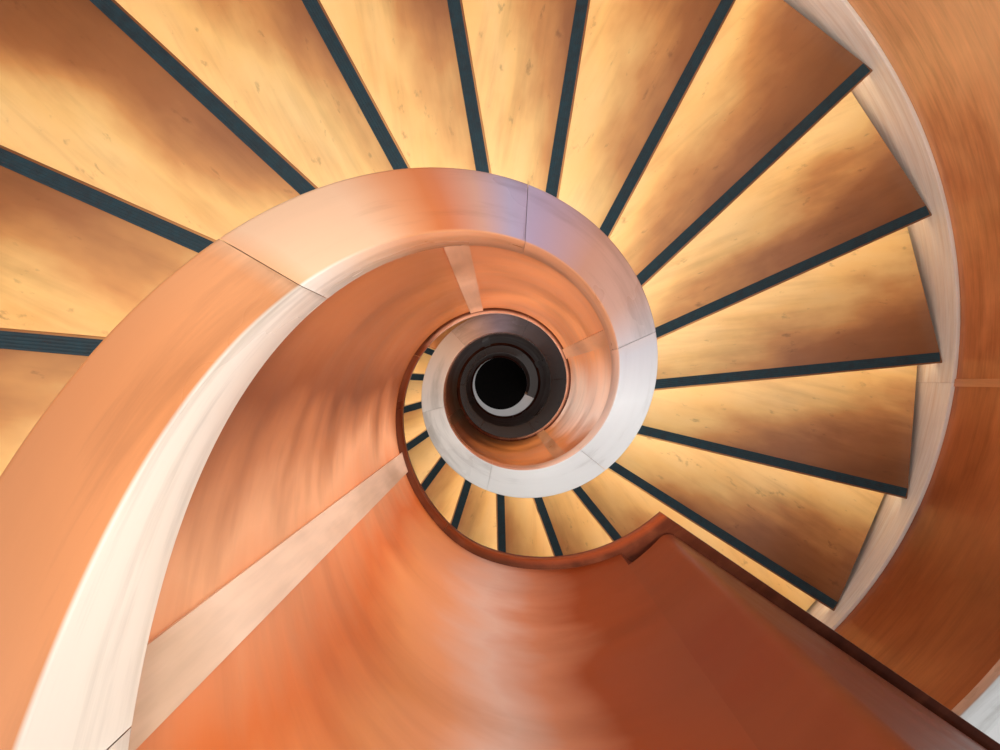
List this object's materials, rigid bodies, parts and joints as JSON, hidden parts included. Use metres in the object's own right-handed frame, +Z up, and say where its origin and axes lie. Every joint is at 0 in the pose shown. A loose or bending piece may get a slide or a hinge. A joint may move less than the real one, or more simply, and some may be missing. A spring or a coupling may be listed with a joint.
{
  "type": "spiral staircase",
  "caption": "Helical timber stair round an open round well, with solid curved guard walls, copings, landings and a closed soffit.",
  "frame": {"origin": "middle of the foot plate's underside, on the ground", "axes": "+Z up, along the stair's axis. +X points from the open well out through the foot plate"},
  "size_m": [4.0557, 4.0556, 9.554],
  "materials": {
    "well_veneer": "high gloss varnished veneer",
    "coping_wood": "satin varnish",
    "tread_wood": "satin varnish",
    "ash_string": "satin varnish",
    "outer_veneer": "satin varnished veneer",
    "joint_wood": "satin varnish",
    "soffit_wood": "satin varnish",
    "nosing_strip": "ribbed matt",
    "foot_steel": "matt"
  },
  "bodies": {
    "root": {"lower_well_wall": "well_veneer", "lower_inner_coping": "coping_wood", "lower_well_joint_covers": "joint_wood", "lower_soffit": "soffit_wood", "lower_treads": "tread_wood", "lower_risers": "tread_wood", "lower_nosing_strips": "nosing_strip", "lower_outer_wall": "outer_veneer", "lower_outer_string": "ash_string", "lower_outer_coping": "coping_wood", "lower_outer_joint_covers": "joint_wood", "lower_outer_end_posts": "joint_wood", "upper_well_wall": "well_veneer", "upper_inner_coping": "coping_wood", "upper_well_joint_covers": "joint_wood", "upper_soffit": "soffit_wood", "upper_treads": "tread_wood", "upper_risers": "tread_wood", "upper_nosing_strips": "nosing_strip", "upper_outer_wall": "outer_veneer", "upper_outer_string": "ash_string", "upper_outer_coping": "coping_wood", "upper_outer_joint_covers": "joint_wood", "upper_outer_end_posts": "joint_wood", "mid_landing_floor": "tread_wood", "mid_landing_threshold": "joint_wood", "mid_landing_edge_beam": "outer_veneer", "top_landing_floor": "tread_wood", "top_landing_threshold": "joint_wood", "top_landing_edge_beam": "outer_veneer", "foot_plate": "foot_steel", "inner_end_post": "joint_wood", "landing_guard_wall": "well_veneer", "landing_guard_coping": "coping_wood"}
  },
  "joints": []
}
